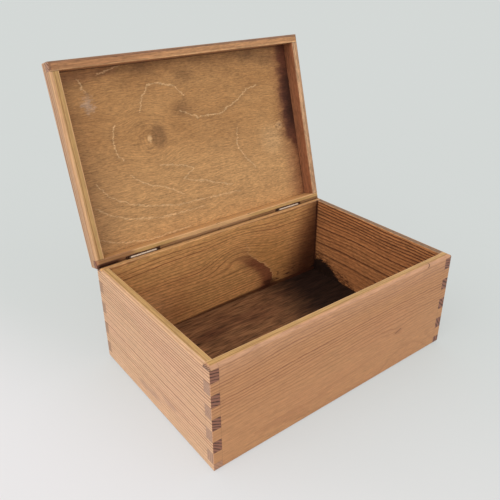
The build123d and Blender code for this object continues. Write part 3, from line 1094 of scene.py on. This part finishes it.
def ply_stains(graph, at, colour):
    """Dark mottles, a chalky smudge, painted shade along the front rail, the smear at the right edge,
    and dark lines in the corners, partly seams and partly painted shade.
    """
    x = at.x * 0.7 + at.jitter_x * 2.0
    y = at.y + at.jitter_y * 2.0
    for pixel in PLY_MOTTLES:
        along, back = ply_point(pixel)
        gap = graph.distance(x, y, (along * 0.7, back))
        colour = graph.mix(gap.rises(13.0, 2.0) * at.inside * 0.32, colour, PLY_DARK)
    along, back = ply_point(PLY_SMUDGE)
    chalk = graph.distance(at.x + at.jitter_x * 3.0, at.y * 0.5 + at.jitter_y, (along, back * 0.5))
    colour = graph.mix(chalk.rises(7.0, 1.0) * at.inside * 0.30, colour, CHALK)

    # Painted shade along the front rail, stronger to the right.
    shade_by_front_rail = (at.lump * 22.0 - at.y).rises(70.0, 98.0) * (at.x.rises(-125.0, -50.0) * 0.3 + 0.1)
    colour = graph.mix(shade_by_front_rail * at.inside * 0.92, colour, PLY_DARK)
    ragged = at.x + at.lump * 9.0
    colour = graph.mix(ragged.rises(*SMEAR_HALO) * at.inside * 0.7, colour, ROSE_STAIN_AND_SHADE)
    ragged = ragged - at.y.rises(*SMEAR_NARROWS) * 5.0 - at.y.rises(*SMEAR_ENDS) * 18.0
    colour = graph.mix(ragged.rises(*SMEAR_EDGE) * at.inside * 0.93, colour, PLY_SMEAR)
    core = ragged.rises(*SMEAR_CORE) * at.y.within(*SMEAR_DARKEST, 26.0)
    colour = graph.mix(core * at.inside * 0.9, colour, PLY_SMEAR_CORE)
    low_left = (at.lump * 12.0 - at.x).rises(84.0, 132.0) * at.y.rises(-45.0, 20.0)
    colour = graph.mix(low_left * at.inside * 0.16, colour, PLY_DARK)

    # Dark lines where the plywood meets the rails: partly seams, partly painted shade.
    past_side = abs(at.x) - (HALF_LENGTH - BOARD)
    edge_y = HALF_DEPTH - BOARD
    crevice = past_side.at_least(-at.y - edge_y).rises(-1.3, -0.3)
    colour = graph.mix(crevice * at.inside * 0.75, colour, STAIN_AND_SHADE)
    return graph.mix((at.y - edge_y).rises(-0.9, -0.2) * at.inside * 0.4, colour, STAIN_AND_SHADE)


def lid_plywood():
    """The stained plywood in the lid, with its figure on the side that faces into the box."""
    graph = Graph("lid_plywood")
    at = PlyPlace(graph)
    colour, tone, dashes, pores = ply_grain(graph, at)
    for add in (ply_veins, ply_knots, ply_stains):
        colour = add(graph, at, colour)
    colour = graph.shade(colour, tone)
    height = dashes * 0.4 - pores * 0.4
    rough = 0.52 + dashes * 0.05
    return graph.finish(colour, rough, height, 0.10, Specular_IOR_Level=WOOD_SPECULAR)


def bottom_plywood():
    """The dark bottom panel, with painted light towards the left and painted shade, black, towards the
    right.
    """
    graph = Graph("bottom_plywood")
    x, y, z = place = graph.place_of(graph.object_point())
    blotch = graph.noise(place, (75, 22, 20), 2.0, detail=3.0, roughness=0.6)
    streaks = graph.noise(place, (34, 4.2, 3), 5.0, detail=5.0, roughness=0.7)
    fine = graph.noise(place, (16, 1.5, 2), 8.0, detail=2.0)
    colour = graph.mix(blotch * 1.3 + 0.5, BOTTOM_LIGHT, BOTTOM_WARM)
    upper = z.rises(BOTTOM_UPPER_FACE - 1.0, BOTTOM_UPPER_FACE)
    # Painted light: the upper face lighter towards the left.
    colour = graph.mix(x.rises(-40.0, -141.0) * upper * 0.8, colour, BOTTOM_LIT_LEFT)
    ragged = graph.noise(place, (16, 9, 20), 14.0, detail=4.0, roughness=0.7) * 11.0
    toward = (x - SHADE_EDGE[0]) * SHADE_NORMAL[0] + (y - SHADE_EDGE[1]) * SHADE_NORMAL[1] + ragged
    # Painted shade, near black, towards the right.
    colour = graph.mix(toward.rises(-70.0, 10.0) * upper * 0.93, colour, CORNER_SHADE_BLACK)
    colour = graph.shade(colour, streaks * 0.8 + fine * 1.3 + 1.0)
    rough = 0.6 + streaks * 0.06
    height = streaks * 0.4 + fine * 0.3
    return graph.finish(colour, rough, height, 0.10, Specular_IOR_Level=BOTTOM_SPECULAR)


# ---- hinges and floor ----


def hinge_metal(name, colour, roughness):
    """Brassed sheet or wire, with fine scratches along the hinge."""
    graph = Graph(name)
    place = graph.place_of(graph.object_point())
    scratch = graph.noise(place, (2.5, 0.12, 0.12), 4.0, detail=2.0)
    tarnish = graph.noise(place, (2.0, 1.0, 1.0), 9.0, detail=2.0)
    darker = tuple(c * 0.55 for c in colour)
    base = graph.mix(tarnish.rises(-0.1, 0.7) * 0.6, colour, darker)
    return graph.finish(base, roughness + scratch * 0.12, scratch, 0.05, Metallic=METALLIC)


def floor_finish():
    """A pale sheet that grows a little lighter towards the viewer's left, as in the photograph."""
    graph = Graph("floor")
    x, y = graph.place_of(graph.object_point())[:2]
    # Painted light: lighter towards the near side and towards the left.
    near = (x * -0.75 - y * 0.65).rises(*FLOOR_NEAR_SPAN)
    colour = graph.mix(near, FLOOR_COLOUR, FLOOR_LIT_NEAR_COLOUR)
    left = (x * -1.0 - y * 0.35).rises(*FLOOR_LEFT_SPAN)
    left = left * graph.distance(x, y, (0.0, 0.0)).rises(*FLOOR_LEFT_FADE)
    colour = graph.mix(left, colour, FLOOR_LIT_LEFT_COLOUR)
    dim = graph.mix(1.0, colour, (FLOOR_BOUNCE,) * 3, blend="MULTIPLY")
    shader = graph.node("ShaderNodeBsdfDiffuse")
    graph.feed(shader.inputs["Color"], dim)
    glow = graph.node("ShaderNodeEmission")
    graph.feed(glow.inputs["Color"], colour)
    path = graph.node("ShaderNodeLightPath")
    seen, mirrored, through = (
        Value(graph, path.outputs[f"Is {kind} Ray"]) for kind in ("Camera", "Glossy", "Transmission")
    )
    both = graph.node("ShaderNodeMixShader")
    graph.feed(both.inputs[0], seen.at_least(mirrored).at_least(through) * FLOOR_GLOW)
    graph.feed(both.inputs[1], shader.outputs[0])
    graph.feed(both.inputs[2], glow.outputs[0])
    output = graph.node("ShaderNodeOutputMaterial")
    graph.feed(output.inputs["Surface"], both.outputs[0])
    return graph.material


def add_floor():
    """A large flat sheet under the box, which belongs to the stage and not to the part."""
    mesh = bpy.data.meshes.new("floor")
    corners = [(-1, -1), (1, -1), (1, 1), (-1, 1)]
    mesh.from_pydata([(x * FLOOR_REACH, y * FLOOR_REACH, 0) for x, y in corners], [], [(0, 1, 2, 3)])
    mesh.materials.append(floor_finish())
    floor = bpy.data.objects.new("floor", mesh)
    bpy.context.scene.collection.objects.link(floor)


# ---- everything in its place ----


def dress(node, material):
    """Gives a node of the frame one material in place of its own."""
    for slot in bpy.data.objects[frame["nodes"][node].name].material_slots:
        slot.material = material


add_camera()
add_studio()
add_floor()

for node, (board, marks) in {**BOX_BOARDS, **LID_BOARDS}.items():
    dress(node, pine(node, board, marks))
dress("lid_panel", lid_plywood())
dress("bottom_panel", bottom_plywood())
leaf_metal = hinge_metal("hinge_metal", LEAF_METAL, LEAF_ROUGHNESS)
pin_metal = hinge_metal("pin_metal", PIN_METAL, PIN_ROUGHNESS)
for side in ("left", "right"):
    dress(f"{side}_hinge_box_leaf", leaf_metal)
    dress(f"{side}_hinge_lid_leaf", leaf_metal)
    dress(f"{side}_hinge_pin", pin_metal)
